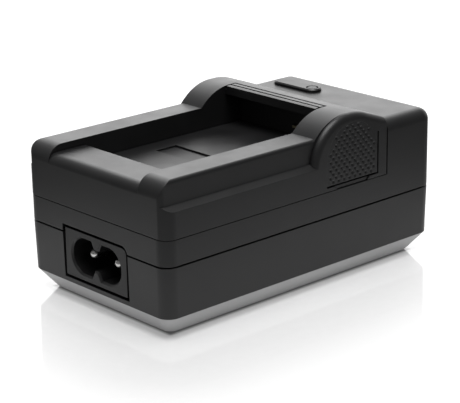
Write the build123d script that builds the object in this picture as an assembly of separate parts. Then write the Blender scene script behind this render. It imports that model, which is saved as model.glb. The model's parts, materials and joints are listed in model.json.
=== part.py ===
from build123d import *
import os
from math import atan2, cos, degrees, radians, sin, tan

os.makedirs("parts", exist_ok=True)

# Camera battery charger with a figure-8 mains inlet and a clip-on battery plate.
# Millimetres. +Z is up, +Y runs from the mains inlet to the indicator bar, and the
# origin is the middle of the underside.

# Body
BODY_W = 47.4
BODY_L = 82.4
CORNER_R = 3.0
MIN_CORNER_R = 0.5
WALL = 2.0
FIT = 0.15
NEAR = 0.01

# Bottom tray
TRAY_H = 4.8
TRAY_INSET = 3.7
TRAY_FOOT_R = 2.0
TRAY_FOOT_EDGE = 0.4
TRAY_FLOOR = 2.0
TRAY_WALL = 3.2
TRAY_HOLLOW_R = 1.0
TRAY_LIP_H = 1.2
TRAY_LIP_T = 1.0

# Case halves and the groove between them
LOWER_H = 11.7
LOWER_DRAFT = 0.2
GROOVE_H = 0.4
TONGUE_H = 1.2
TONGUE_T = 0.9
BAND_H = 5.7
DECK_T = 2.0

# Rear block and indicator bar
BLOCK_L = 15.6
BLOCK_RISE = 12.85
BLOCK_EDGE_R = 2.8
BAR_L = 14.4
BAR_W = 4.4
BAR_H = 0.8
BAR_EDGE = 0.3
LIGHT_FROM_LEFT = 16.4
LIGHT_FROM_REAR = 8.8
LIGHT_D = 2.8
LIGHT_FLANGE_D = 4.8
LIGHT_FLANGE_T = 1.0

# Battery plate
PLATE_PROUD = 0.1
PLATE_GAP = 0.5
SEAM_H = 0.2
SEAM_IN = 0.5
SKIRT_H = 6.05
LEDGE_H = 1.1
RIM_SET = 1.5
RIM_CORNER_R = 1.1
RIM_SIDE_R = 0.8
RIM_EDGE_R = 3.8
LIP_L = 10.2
LIP_EDGE_R = 2.2
BAY_W = 30.4
BAY_FROM_REAR = 9.5
FLOOR_RISE = 7.15
FLOOR_T = 2.0
LIP_STEP = 3.65
RIM_STEP = 1.7
RECESS_W = 20.4
RECESS_L = 6.0
RECESS_FROM_LIP = 16.1
RECESS_DEPTH = 0.4
LOCATOR_H = 1.5
LOCATOR_T = 1.0

# Arched bridge at the rear of the plate
HUMP_RISE = 4.15
HUMP_R = 13.0
EAR_R = 11.3
HUMP_CROWN = 1.5
HUMP_FROM_REAR = 12.1
HUMP_EDGE_R = 1.6
RAMP_ANGLE = 20.0
RAMP_END_R = 1.5
BRIDGE_FROM_REAR = 13.9
BRIDGE_T = 2.0
RIB_W = 1.1
RIB_GAP = 0.55
RIB_DEPTH = 0.8
RIB_COUNT = 2
RIB_END = 0.5

# Squeeze grips at the sides of the bridge
GRIP_W = 16.2
GRIP_FROM_REAR = 3.1
GRIP_FOOT = 1.4
GRIP_ARCH = 6.6
GRIP_DEPTH = 0.3
SLIT_W = 0.45
SLIT_RISE = 10.0
SLIT_DEPTH = 3.0

# Mains inlet
INLET_W = 21.0
INLET_H = 10.9
INLET_L = 13.3
INLET_ROUND = 1.4
INLET_DROP = 4.55
INLET_RECESS = 0.2
INLET_GAP = 0.7
INLET_FLANGE = 1.2
INLET_FLANGE_T = 1.6
LOBE_R = 4.05
WAIST_H = 4.6
WEDGE_FOOT = 3.4
WEDGE_TIP = 1.4
CAVITY_L = 11.0
CAVITY_EDGE = 0.4
PIN_PITCH = 8.6
PIN_D = 2.36
PIN_SET_BACK = 2.1
PIN_SHANK_D = 2.0
PIN_FIT = 0.05
TAIL_REACH = 2.4
TAIL_W = 1.4
TAIL_T = 0.8
TAIL_BELOW = 1.4

# Circuit board and the screws that clamp it
BOARD_T = 1.6
BOARD_MARGIN = 2.2
BOARD_NOTCH_GAP = 0.4
STANDOFF_H = 3.6
STANDOFF_D = 6.4
BOSS_D = 5.6
POST_MARGIN = 5.4
SCREW_D = 2.5
SCREW_GRIP = 8.0
SCREW_SPARE = 1.0
SCREW_TIP = 0.5
SCREW_HEAD_D = 4.6
SCREW_HEAD_H = 1.6
SCREW_HEAD_EDGE = 0.5
SCREW_SLOT_L = 2.8
SCREW_SLOT_W = 0.7
SCREW_SLOT_DEPTH = 0.6
SCREW_SINK = 2.4
SCREW_PLAY = 0.2
THREAD_FIT = 0.05

# Contacts between board, plate and battery
CONTACT_COUNT = 3
CONTACT_PITCH = 3.6
CONTACT_FROM_MIDDLE = 8.5
CONTACT_W = 2.4
CONTACT_T = 0.5
CONTACT_BEND_R = 0.8
CONTACT_REACH = 0.8
CONTACT_RISE = 2.4
PAD_RISE = 2.8
PAD_L = 3.0
RISER_SET = 1.0
FOOT_L = 3.0

# Parts on the board
SIDE_COLUMN = 6.0
MAINS_GAP = 4.0
PART_GAP = 3.0
CORE_W = 16.0
CORE_L = 14.0
CORE_T = 4.8
CORE_LEG = 2.3
CORE_CENTRE_LEG = 4.6
CORE_X = 3.0
BOBBIN_H = 11.0
BOBBIN_FLANGE_T = 0.8
BOBBIN_WALL = 0.7
WINDING_T = 1.7
INPUT_CAP_D = 8.0
INPUT_CAP_H = 12.0
OUTPUT_CAP_D = 6.3
OUTPUT_CAP_H = 11.0
CAN_EDGE = 0.5
CAN_CRIMP = 0.6
CAN_CRIMP_RISE = 1.5
SAFETY_CAP = (13.0, 5.0, 9.5)
BRIDGE_RECTIFIER = (6.4, 8.6, 3.2)
PACKAGE_EDGE = 0.4
FUSE_D = 3.4
FUSE_L = 10.0
FUSE_CAP_D = 3.9
FUSE_CAP_L = 2.2
SWITCHER = (6.4, 9.2, 3.3)
OPTO = (6.4, 4.6, 3.3)
CHARGER_IC = (4.0, 5.0, 1.6)
DIODE = (2.7, 4.4, 2.1)
LED = (3.2, 2.8, 1.9)
LEG_PITCH = 2.54
LEG_W = 0.5
LEG_T = 0.25
LEG_OUT = 0.9

# Levels and places that follow from the sizes above
Z_TRAY = TRAY_H
Z_JOINT = Z_TRAY + LOWER_H
Z_DECK = Z_JOINT + BAND_H
Z_BLOCK = Z_DECK + BLOCK_RISE
Z_FLOOR = Z_DECK + FLOOR_RISE
Z_LIP = Z_FLOOR + LIP_STEP
Z_RIM = Z_LIP + RIM_STEP
Z_CROWN = Z_RIM + HUMP_RISE
Z_BOARD = TRAY_FLOOR + STANDOFF_H
Z_PARTS = Z_BOARD + BOARD_T
Z_INLET = Z_JOINT - INLET_DROP
FRONT = -BODY_L / 2
REAR = BODY_L / 2
BLOCK_FRONT = REAR - BLOCK_L
PLATE_W = BODY_W + 2 * PLATE_PROUD
PLATE_FRONT = FRONT
PLATE_REAR = BLOCK_FRONT - PLATE_GAP
BAY_FRONT = PLATE_FRONT + LIP_L
BAY_REAR = PLATE_REAR - BAY_FROM_REAR
HUMP_Y = PLATE_REAR - HUMP_FROM_REAR
BRIDGE_FRONT = PLATE_REAR - BRIDGE_FROM_REAR
INLET_FACE = FRONT + INLET_RECESS
INLET_BACK = INLET_FACE + INLET_L
POST_X = BODY_W / 2 - WALL - POST_MARGIN
POST_Y = BODY_L / 2 - WALL - POST_MARGIN
POSTS = [(sx * POST_X, sy * POST_Y) for sx in (-1, 1) for sy in (-1, 1)]
LIGHT_X = LIGHT_FROM_LEFT - BODY_W / 2
LIGHT_Y = REAR - LIGHT_FROM_REAR
CONTACT_FIRST = CONTACT_FROM_MIDDLE - CONTACT_PITCH * (CONTACT_COUNT - 1) / 2
CONTACT_X = [CONTACT_FIRST + i * CONTACT_PITCH for i in range(CONTACT_COUNT)]
BLADE_Y = BAY_REAR + WALL + CONTACT_BEND_R
BLADE_Z = Z_FLOOR + CONTACT_RISE
PAD_Z = Z_DECK + PAD_RISE
RISER_Y = BLADE_Y + RISER_SET

# Places on the board: mains row behind the inlet, transformer behind it, a column down each side,
# the output parts in line beside the contacts
BOARD_W = BODY_W - 2 * (WALL + BOARD_MARGIN)
BOARD_L = BODY_L - 2 * (WALL + BOARD_MARGIN)
SIDE_X = BOARD_W / 2 - SIDE_COLUMN
MAINS_Y = INLET_BACK + MAINS_GAP + FUSE_L / 2
CORE_FRONT = MAINS_Y + FUSE_L / 2 + PART_GAP
CORE_Y = CORE_FRONT + CORE_L / 2
INPUT_CAP_Y = CORE_FRONT + INPUT_CAP_D / 2
SWITCHER_Y = INPUT_CAP_Y + INPUT_CAP_D / 2 + PART_GAP + SWITCHER[1] / 2
OPTO_Y = SWITCHER_Y + SWITCHER[1] / 2 + PART_GAP + OPTO[1] / 2
DIODE_Y = CORE_Y + CORE_L / 2 + PART_GAP + DIODE[1] / 2
OUTPUT_CAP_Y = DIODE_Y + DIODE[1] / 2 + PART_GAP + OUTPUT_CAP_D / 2
OUTPUT_X = CONTACT_FIRST - CONTACT_W / 2 - PART_GAP - OUTPUT_CAP_D / 2


def at_z(z):
    """Level plane at height z."""
    return Plane.XY.offset(z)


def facing_front(y):
    """Upright plane at y that faces the inlet end, with X to the right and Z up."""
    return Plane(origin=(0, y, Z_INLET), x_dir=(1, 0, 0), z_dir=(0, -1, 0))


def block(x0, x1, y0, y1, z0, z1):
    """Box between two corners."""
    size = Box(x1 - x0, y1 - y0, z1 - z0, align=(Align.MIN, Align.MIN, Align.MIN))
    return Pos(x0, y0, z0) * size


def slab(width, length, radius, z0, z1, y=0.0):
    """Rounded rectangle, upright sides, between two levels."""
    return extrude(at_z(z0) * Pos(0, y) * RectangleRounded(width, length, radius), z1 - z0)


def across(profile, half):
    """Side-view profile (Y, Z) extruded to both sides of the middle plane."""
    return extrude(Plane.YZ * profile, half, both=True)


def case_slab(inset, z0, z1):
    """The case outline moved in by inset, between two levels."""
    radius = max(CORNER_R - inset, MIN_CORNER_R)
    return slab(BODY_W - 2 * inset, BODY_L - 2 * inset, radius, z0, z1)


def inlet_outline(grow=0.0):
    """Front view of the inlet body: a rectangle with its top right corner rounded."""
    outline = Rectangle(INLET_W + 2 * grow, INLET_H + 2 * grow)
    corner = outline.vertices().group_by(Axis.Y)[-1].sort_by(Axis.X)[-1]
    return fillet(corner, INLET_ROUND + grow)


def inlet_opening():
    """Opening through the front wall, and the room behind it for the flange."""
    opening = extrude(facing_front(FRONT - WALL) * inlet_outline(INLET_GAP), -3 * WALL)
    grow = INLET_FLANGE + INLET_GAP
    room = extrude(facing_front(FRONT + WALL) * inlet_outline(grow), -INLET_L)
    return opening + room


# Bottom tray

def tray_section(z, inset, radius):
    """Outline of the sloping tray at height z, moved in by inset."""
    margin = LOWER_DRAFT + TRAY_INSET * (1 - z / TRAY_H) + inset
    return at_z(z) * RectangleRounded(BODY_W - 2 * margin, BODY_L - 2 * margin, radius)


def make_bottom_tray():
    """Chamfered tray with a locating lip and four counterbored standoffs."""
    foot = tray_section(0, TRAY_FOOT_EDGE, TRAY_FOOT_R)
    ankle = tray_section(TRAY_FOOT_EDGE, 0, TRAY_FOOT_R)
    head = tray_section(TRAY_H, 0, CORNER_R)
    tray = loft([foot, ankle, head], ruled=True)
    slope = degrees(atan2(TRAY_INSET, TRAY_H))
    hollow = tray_section(TRAY_FLOOR, TRAY_WALL, TRAY_HOLLOW_R)
    tray -= extrude(hollow, TRAY_H - TRAY_FLOOR, taper=-slope)
    lip = case_slab(WALL + FIT, TRAY_H, TRAY_H + TRAY_LIP_H)
    lip -= case_slab(WALL + FIT + TRAY_LIP_T, TRAY_H, TRAY_H + TRAY_LIP_H)
    tray += lip - inlet_opening()
    for x, y in POSTS:
        standoff = Pos(x, y) * Circle(STANDOFF_D / 2)
        tray += extrude(at_z(TRAY_FLOOR / 2) * standoff, Z_BOARD - TRAY_FLOOR / 2)
        tray -= extrude(at_z(0) * Pos(x, y) * Circle(SCREW_D / 2 + SCREW_PLAY), Z_BOARD)
        tray -= extrude(at_z(0) * Pos(x, y) * Circle(SCREW_HEAD_D / 2 + SCREW_PLAY), SCREW_SINK)
    return tray


# Case halves

def make_lower_case():
    """Ring wall, drafted outside, with a tongue that laps inside the upper case."""
    top = Z_JOINT - GROOVE_H
    foot = RectangleRounded(BODY_W - 2 * LOWER_DRAFT, BODY_L - 2 * LOWER_DRAFT, CORNER_R)
    head = RectangleRounded(BODY_W, BODY_L, CORNER_R)
    case = loft([at_z(Z_TRAY) * foot, at_z(top) * head], ruled=True)
    case += case_slab(WALL - TONGUE_T, top, Z_JOINT + TONGUE_H)
    case -= case_slab(WALL, Z_TRAY, Z_JOINT + TONGUE_H)
    return case - inlet_opening()


def rear_block():
    """Raised block behind the plate, rounded along its top, with the indicator bar on it."""
    body = slab(BODY_W, BODY_L, CORNER_R, Z_JOINT, Z_BLOCK)
    body &= block(-BODY_W, BODY_W, BLOCK_FRONT, REAR, Z_JOINT, Z_BLOCK)
    rim = [e for e in body.faces().sort_by(Axis.Z)[-1].edges() if e.center().Y > BLOCK_FRONT + NEAR]
    body = fillet(rim, BLOCK_EDGE_R)
    middle = LIGHT_X + BAR_W / 2 - BAR_L / 2
    outline = Pos(middle, LIGHT_Y) * SlotOverall(BAR_L, BAR_W)
    bar = extrude(at_z(Z_BLOCK - WALL / 2) * outline, BAR_H + WALL / 2)
    bar = chamfer(bar.faces().sort_by(Axis.Z)[-1].edges(), BAR_EDGE)
    return body + bar


def make_upper_case():
    """Band, deck and rear block, hollow from below, with screw bosses and contact slots."""
    case = case_slab(0, Z_JOINT, Z_DECK) + rear_block()
    locator_w = PLATE_W - 2 * (WALL + FIT)
    locator_l = PLATE_REAR - PLATE_FRONT - 2 * (WALL + FIT)
    middle = (PLATE_REAR + PLATE_FRONT) / 2
    top = Z_DECK + LOCATOR_H
    locator = slab(locator_w, locator_l, CORNER_R - WALL / 2, Z_DECK, top, middle)
    inner = 2 * LOCATOR_T
    locator -= slab(locator_w - inner, locator_l - inner, CORNER_R - WALL, Z_DECK, top, middle)
    case += locator
    case -= case_slab(WALL, Z_JOINT, Z_DECK - DECK_T)
    case -= case_slab(WALL - TONGUE_T - FIT, Z_JOINT, Z_JOINT + TONGUE_H)
    inside = case_slab(WALL, Z_JOINT, Z_BLOCK - WALL)
    case -= inside & block(-BODY_W, BODY_W, BLOCK_FRONT + WALL, REAR, Z_JOINT, Z_BLOCK)
    for x, y in POSTS:
        roof = Z_BLOCK - WALL / 2 if y > BLOCK_FRONT else Z_DECK - DECK_T / 2
        case += extrude(at_z(Z_PARTS) * Pos(x, y) * Circle(BOSS_D / 2), roof - Z_PARTS)
        bore = Pos(x, y) * Circle(SCREW_D / 2 + THREAD_FIT)
        case -= extrude(at_z(Z_PARTS) * bore, SCREW_GRIP + SCREW_SPARE)
    light = Pos(LIGHT_X, LIGHT_Y) * Circle(LIGHT_D / 2 + FIT)
    case -= extrude(at_z(Z_BLOCK - 2 * WALL) * light, 2 * WALL + 2 * BAR_H)
    for x in CONTACT_X:
        half = CONTACT_W / 2 + 2 * FIT
        y0 = RISER_Y - CONTACT_T / 2 - 2 * FIT
        y1 = BLADE_Y + PAD_L + 2 * FIT
        case -= block(x - half, x + half, y0, y1, Z_DECK - 2 * DECK_T, Z_DECK + LOCATOR_H)
    return case - inlet_opening()


# Battery plate

def hump_profile(inset=0.0, front_r=HUMP_R):
    """Side view of the arched bridge: upright foot, quarter arc, flat crown and rear ramp."""
    top = Z_CROWN - inset
    rear = PLATE_REAR - inset
    turn = radians(RAMP_ANGLE)
    rise = CenterArc((HUMP_Y, Z_CROWN - front_r), front_r - inset, 180, -90)
    crown = Line((HUMP_Y, top), (HUMP_Y + HUMP_CROWN, top))
    fall_r = HUMP_R - inset
    fall = CenterArc((HUMP_Y + HUMP_CROWN, Z_CROWN - HUMP_R), fall_r, 90, -RAMP_ANGLE)
    start = (HUMP_Y + HUMP_CROWN + fall_r * sin(turn), top - fall_r * (1 - cos(turn)))
    end = (rear, start[1] - (rear - start[0]) * tan(turn))
    front = HUMP_Y - front_r + inset
    back = Polyline(end, (rear, Z_DECK), (front, Z_DECK), (front, Z_CROWN - front_r))
    return make_face([rise, crown, fall, Line(start, end), back])


def ramp_end():
    """What a rounded rear edge takes off the sharp side view of the bridge."""
    sharp = hump_profile()
    corner = sharp.vertices().group_by(Axis.X)[-1].sort_by(Axis.Y)[-1]
    return across(sharp - fillet(corner, RAMP_END_R), PLATE_W / 2)


def plate_hump():
    """The arched bridge, with a tighter ear at each end that is rounded along its rim."""
    half = PLATE_W / 2
    ears = across(hump_profile(front_r=EAR_R), half)
    rims = [
        e
        for e in ears.edges()
        if abs(abs(e.center().X) - half) < NEAR
        and e.center().Z > Z_DECK + NEAR
        and e.center().Y < PLATE_REAR - NEAR
    ]
    front = block(-half, half, PLATE_FRONT, HUMP_Y, Z_DECK, Z_CROWN)
    middle = across(hump_profile(), half - RIM_SET) & front
    return fillet(rims, HUMP_EDGE_R) + middle - ramp_end()


def plate_skirt():
    """Lower part of the plate, with a sloping ledge along each side."""
    half = PLATE_W / 2
    rim = half - RIM_SET
    ledge = Z_DECK + SKIRT_H
    top = ledge + LEDGE_H
    front_view = Polygon(
        (-half, Z_DECK), (half, Z_DECK), (half, ledge), (rim, top), (-rim, top), (-half, ledge), align=None
    )
    length = PLATE_REAR - PLATE_FRONT
    sides = extrude(Plane(origin=(0, PLATE_REAR, 0), x_dir=(1, 0, 0), z_dir=(0, -1, 0)) * front_view, length)
    return fillet(sides.edges().filter_by(Axis.Z).sort_by(Axis.Y)[:2], CORNER_R)


def plate_seam():
    """Fine groove around the foot of the plate, where it stands on the deck."""
    half = PLATE_W / 2
    top = Z_DECK + SEAM_H
    length = PLATE_REAR - PLATE_FRONT - 2 * SEAM_IN
    middle = (PLATE_REAR + PLATE_FRONT) / 2
    ring = block(-half, half, PLATE_FRONT, PLATE_REAR, Z_DECK, top)
    return ring - slab(PLATE_W - 2 * SEAM_IN, length, CORNER_R - SEAM_IN, Z_DECK, top, middle)


def plate_rims():
    """The two rims and the front lip, as one set-in block with rounded edges."""
    half = PLATE_W / 2 - RIM_SET
    rims = block(-half, half, PLATE_FRONT, HUMP_Y, Z_DECK, Z_RIM)
    rims = fillet(rims.edges().filter_by(Axis.Y).group_by(Axis.Z)[-1], RIM_SIDE_R)
    plan = block(-half, half, PLATE_FRONT, HUMP_Y, Z_DECK, Z_RIM)
    rims &= fillet(plan.edges().filter_by(Axis.Z).group_by(Axis.Y)[0], RIM_CORNER_R)
    outside = Rectangle(2 * RIM_EDGE_R, 2 * RIM_EDGE_R, align=(Align.MAX, Align.MIN))
    nose = Pos(PLATE_FRONT + RIM_EDGE_R, Z_RIM - RIM_EDGE_R) * (outside - Circle(RIM_EDGE_R))
    return rims - across(nose, half + RIM_SET)


def lip_cut():
    """What is taken off between the rims to leave the low front lip with its soft edge."""
    high = Z_CROWN + HUMP_RISE
    start = (BAY_FRONT, Z_LIP)
    bend = (PLATE_FRONT + LIP_EDGE_R, Z_LIP)
    foot = (PLATE_FRONT, Z_LIP - LIP_EDGE_R)
    soft = RadiusArc(bend, foot, -LIP_EDGE_R)
    out = PLATE_FRONT - LIP_L
    far = Polyline(foot, (out, foot[1]), (out, high), (BAY_FRONT, high), start)
    return across(make_face([Line(start, bend), soft, far]), BAY_W / 2)


def bay_cut():
    """The bay for the battery: open above in front of the bridge, roofed under it."""
    half = BAY_W / 2
    high = Z_CROWN + HUMP_RISE
    bay = block(-half, half, BAY_FRONT, BRIDGE_FRONT, Z_FLOOR, high)
    roof = across(hump_profile(BRIDGE_T), half)
    under = block(-half, half, BRIDGE_FRONT - BRIDGE_T, BAY_REAR, Z_FLOOR, high) & roof
    recess_y = BAY_FRONT + RECESS_FROM_LIP
    side = RECESS_W / 2
    recess = block(-side, side, recess_y, recess_y + RECESS_L, Z_FLOOR - RECESS_DEPTH, Z_FLOOR)
    return bay + under + recess


def bridge_ribs():
    """Recess along the front of the bridge, less the ribs that stand in it."""
    half = BAY_W / 2
    length = RIB_COUNT * (RIB_W + RIB_GAP)
    skin = across(hump_profile(), half) - across(hump_profile(RIB_DEPTH), half)
    recess = skin & block(-half, half, BRIDGE_FRONT, BRIDGE_FRONT + length, Z_RIM, Z_CROWN)
    for i in range(RIB_COUNT):
        y = BRIDGE_FRONT + i * (RIB_W + RIB_GAP)
        recess -= block(RIB_END - half, half - RIB_END, y, y + RIB_W, Z_RIM, Z_CROWN)
    return recess


def plate_hollow():
    """Cored-out underside: skirt, rims, lip and bridge less the walls around the bay."""
    half = PLATE_W / 2 - WALL
    rim = PLATE_W / 2 - RIM_SET - WALL
    front = PLATE_FRONT + WALL
    liner = BAY_W / 2 + WALL
    rear = PLATE_REAR - WALL
    low = slab(2 * half, rear - front, CORNER_R - WALL / 2, Z_DECK, Z_FLOOR - FLOOR_T, (front + rear) / 2)
    lip = block(-rim, rim, front + LIP_EDGE_R / 2, BAY_FRONT - WALL, Z_DECK, Z_LIP - WALL)
    rims = block(-rim, rim, front + RIM_EDGE_R, HUMP_Y, Z_DECK, Z_RIM - WALL)
    rims -= block(-liner, liner, front, HUMP_Y, Z_DECK, Z_CROWN)
    hump = across(hump_profile(WALL), half)
    bay_walls = block(-liner, liner, BAY_FRONT - WALL, BAY_REAR + WALL, Z_FLOOR - FLOOR_T, Z_CROWN)
    return low + lip + rims + (hump - bay_walls)


def grip_outline(grow=0.0):
    """Side view (Y, Z) of a grip: straight sides under a half-round head."""
    y1 = PLATE_REAR - GRIP_FROM_REAR
    middle = y1 - GRIP_W / 2
    foot = Z_DECK + GRIP_FOOT
    arch = Z_DECK + GRIP_ARCH
    radius = GRIP_W / 2 + grow
    sides = Pos(middle, (foot + arch) / 2) * Rectangle(2 * radius, arch - foot)
    return sides + Pos(middle, arch) * Circle(radius)


def grip_cuts():
    """Shallow pads for the grip texture, and the slits that free each squeeze tongue."""
    half = PLATE_W / 2
    y1 = PLATE_REAR - GRIP_FROM_REAR
    y0 = y1 - GRIP_W
    foot = Z_DECK + GRIP_FOOT
    pads = across(grip_outline(), half) - across(grip_outline(), half - GRIP_DEPTH)
    lower = Pos((y0 + y1) / 2, foot - SLIT_W / 2) * Rectangle(GRIP_W, SLIT_W)
    rear = Pos(y1 + SLIT_W / 2, foot - SLIT_W + SLIT_RISE / 2) * Rectangle(SLIT_W, SLIT_RISE)
    slits = across(lower + rear, half) - across(lower + rear, half - SLIT_DEPTH)
    return pads + slits


def make_battery_plate():
    """Clip-on plate: skirt, rims, lip, bay, bridge and squeeze grips in one moulding."""
    plate = plate_skirt() + plate_rims() + plate_hump()
    plate -= lip_cut()
    plate -= plate_hollow()
    plate -= bay_cut()
    plate -= bridge_ribs()
    plate -= grip_cuts()
    plate -= plate_seam()
    for x in CONTACT_X:
        half = CONTACT_W / 2 + FIT
        tall = CONTACT_T / 2 + FIT
        y1 = BAY_REAR + 2 * WALL
        plate -= block(x - half, x + half, BAY_REAR - WALL, y1, BLADE_Z - tall, BLADE_Z + tall)
    return plate


# Mains inlet

def inlet_cavity():
    """Figure-8 cavity: a slot with a wedge left standing above and below its waist."""
    outline = SlotOverall(PIN_PITCH + 2 * LOBE_R, 2 * LOBE_R)
    foot = WEDGE_FOOT / 2
    tip = WEDGE_TIP / 2
    waist = WAIST_H / 2
    for way in (-1, 1):
        wall = way * LOBE_R
        outline -= Polygon((-foot, wall), (foot, wall), (tip, way * waist), (-tip, way * waist), align=None)
    return extrude(facing_front(INLET_FACE) * outline, -CAVITY_L)


def make_mains_inlet():
    """Inlet body with a figure-8 cavity and a flange that bears on the inside of the wall."""
    body = extrude(facing_front(INLET_FACE) * inlet_outline(), -INLET_L)
    body += extrude(facing_front(FRONT + WALL) * inlet_outline(INLET_FLANGE), -INLET_FLANGE_T)
    body -= inlet_cavity()
    mouth = body.faces().sort_by(Axis.Y)[0].inner_wires()[0]
    body = chamfer(mouth.edges(), CAVITY_EDGE)
    for x in (-PIN_PITCH / 2, PIN_PITCH / 2):
        bore = Pos(x, 0) * Circle(PIN_SHANK_D / 2 + PIN_FIT)
        body -= extrude(facing_front(INLET_FACE) * bore, -INLET_L)
    return body


def make_inlet_pin(x):
    """Round pin with a half-round nose, a shoulder on the cavity floor and a tail to the board."""
    nose = INLET_FACE + PIN_SET_BACK + PIN_D / 2
    shoulder = INLET_FACE + CAVITY_L
    tail = INLET_BACK + TAIL_REACH
    pin = extrude(facing_front(nose) * Pos(x, 0) * Circle(PIN_D / 2), nose - shoulder)
    pin += Pos(x, nose, Z_INLET) * Sphere(PIN_D / 2)
    pin += extrude(facing_front(shoulder) * Pos(x, 0) * Circle(PIN_SHANK_D / 2), shoulder - tail)
    half = TAIL_W / 2
    return pin + block(x - half, x + half, tail - TAIL_T, tail, Z_BOARD - TAIL_BELOW, Z_INLET)


# Board, screws and light

def make_main_board():
    """Board with a notch for the inlet, screw holes and slots for the pins' tails."""
    board = slab(BOARD_W, BOARD_L, CORNER_R, Z_BOARD, Z_PARTS)
    notch = INLET_W / 2 + INLET_FLANGE + BOARD_NOTCH_GAP
    board -= block(-notch, notch, FRONT, INLET_BACK + BOARD_NOTCH_GAP, Z_BOARD, Z_PARTS)
    for x, y in POSTS:
        board -= extrude(at_z(Z_BOARD) * Pos(x, y) * Circle(SCREW_D / 2 + SCREW_PLAY), BOARD_T)
    tail = INLET_BACK + TAIL_REACH
    for x in (-PIN_PITCH / 2, PIN_PITCH / 2):
        half = TAIL_W / 2 + FIT
        board -= block(x - half, x + half, tail - TAIL_T - FIT, tail + FIT, Z_BOARD, Z_PARTS)
    return board


def make_case_screws():
    """Four pan-head screws from below, through tray and board into the bosses."""
    seat = SCREW_SINK
    radius = SCREW_HEAD_D / 2
    screw = extrude(at_z(seat) * Circle(radius), -SCREW_HEAD_H)
    screw = chamfer(screw.edges().sort_by(Axis.Z)[0], SCREW_HEAD_EDGE)
    top = Z_PARTS + SCREW_GRIP
    screw += extrude(at_z(seat) * Circle(SCREW_D / 2), top - seat)
    screw = chamfer(screw.edges().sort_by(Axis.Z)[-1], SCREW_TIP)
    slots = Rectangle(SCREW_SLOT_L, SCREW_SLOT_W) + Rectangle(SCREW_SLOT_W, SCREW_SLOT_L)
    screw -= extrude(at_z(seat - SCREW_HEAD_H) * slots, SCREW_SLOT_DEPTH)
    return Compound(children=[Pos(x, y) * screw for x, y in POSTS])


def make_light_pipe():
    """Clear rod from the lamp on the board to the lens in the indicator bar."""
    foot = Z_PARTS + LED[2]
    rod = extrude(at_z(foot) * Circle(LIGHT_D / 2), Z_BLOCK + BAR_H - foot)
    rod = chamfer(rod.edges().sort_by(Axis.Z)[-1], BAR_EDGE)
    roof = Z_BLOCK - WALL
    rod += extrude(at_z(roof - LIGHT_FLANGE_T) * Circle(LIGHT_FLANGE_D / 2), LIGHT_FLANGE_T)
    return Pos(LIGHT_X, LIGHT_Y) * rod


# Contacts

def strip(x, *points):
    """Bent metal strip: side-view points (Y, Z) along its middle, centred at x."""
    path = FilletPolyline(*points, radius=CONTACT_BEND_R)
    side = trace(path, CONTACT_T)
    return Pos(x) * across(side, CONTACT_W / 2)


def make_plate_contact(x):
    """Blade that stands out of the bay's rear wall and ends in a pad under the plate."""
    return strip(
        x,
        (BAY_REAR - CONTACT_REACH, BLADE_Z),
        (BLADE_Y, BLADE_Z),
        (BLADE_Y, PAD_Z),
        (BLADE_Y + PAD_L, PAD_Z),
    )


def make_base_contact(x):
    """Leaf that stands on the board and bears on the pad of the plate's blade."""
    foot = Z_PARTS + CONTACT_T / 2
    head = PAD_Z - CONTACT_T
    return strip(
        x,
        (RISER_Y - FOOT_L, foot),
        (RISER_Y, foot),
        (RISER_Y, head),
        (BLADE_Y + PAD_L, head),
    )


# Parts on the board

def make_transformer_core():
    """Two E halves seen as one frame around the centre leg."""
    frame = Rectangle(CORE_W, CORE_L)
    window_w = (CORE_W - 2 * CORE_LEG - CORE_CENTRE_LEG) / 2
    window_l = CORE_L - 2 * CORE_LEG
    shift = (CORE_CENTRE_LEG + window_w) / 2
    for x in (-shift, shift):
        frame -= Pos(x, 0) * Rectangle(window_w, window_l)
    low = Z_PARTS + (BOBBIN_H - CORE_T) / 2
    return extrude(at_z(low) * Pos(CORE_X, CORE_Y) * frame, CORE_T)


def bobbin_section(grow):
    """End view (X, Z) of the bobbin's tube, grown outwards from the centre leg."""
    middle = Z_PARTS + BOBBIN_H / 2
    plane = Plane(origin=(CORE_X, CORE_Y, middle), x_dir=(1, 0, 0), z_dir=(0, -1, 0))
    return plane * Rectangle(CORE_CENTRE_LEG + 2 * grow, CORE_T + 2 * grow)


def make_transformer_bobbin():
    """Tube over the centre leg with a flange at each end, standing on the board."""
    length = CORE_L - 2 * CORE_LEG - 2 * FIT
    bobbin = extrude(bobbin_section(FIT + BOBBIN_WALL), length / 2, both=True)
    half = CORE_W / 2 - CORE_LEG - FIT
    for y in (CORE_Y - length / 2, CORE_Y + length / 2 - BOBBIN_FLANGE_T):
        flange = block(CORE_X - half, CORE_X + half, y, y + BOBBIN_FLANGE_T, Z_PARTS, Z_PARTS + BOBBIN_H)
        bobbin += flange
    return bobbin - extrude(bobbin_section(FIT), CORE_L, both=True)


def make_transformer_winding():
    """Copper wound on the bobbin between its flanges, rounded at the corners."""
    length = CORE_L - 2 * CORE_LEG - 2 * BOBBIN_FLANGE_T - 4 * FIT
    coil = extrude(bobbin_section(FIT + BOBBIN_WALL + WINDING_T), length / 2, both=True)
    coil = fillet(coil.edges().filter_by(Axis.Y), WINDING_T / 2)
    return coil - extrude(bobbin_section(FIT + BOBBIN_WALL), CORE_L, both=True)


def make_can(diameter, height, x, y):
    """Upright electrolytic capacitor with a crimp above its foot."""
    can = extrude(at_z(Z_PARTS) * Circle(diameter / 2), height)
    can = chamfer(can.edges().sort_by(Axis.Z)[-1], CAN_EDGE)
    crimp = Pos(diameter / 2, Z_PARTS + CAN_CRIMP_RISE) * Rectangle(CAN_CRIMP, CAN_CRIMP, rotation=45)
    can -= revolve(Plane.XZ * crimp, Axis.Z)
    return Pos(x, y) * can


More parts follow.
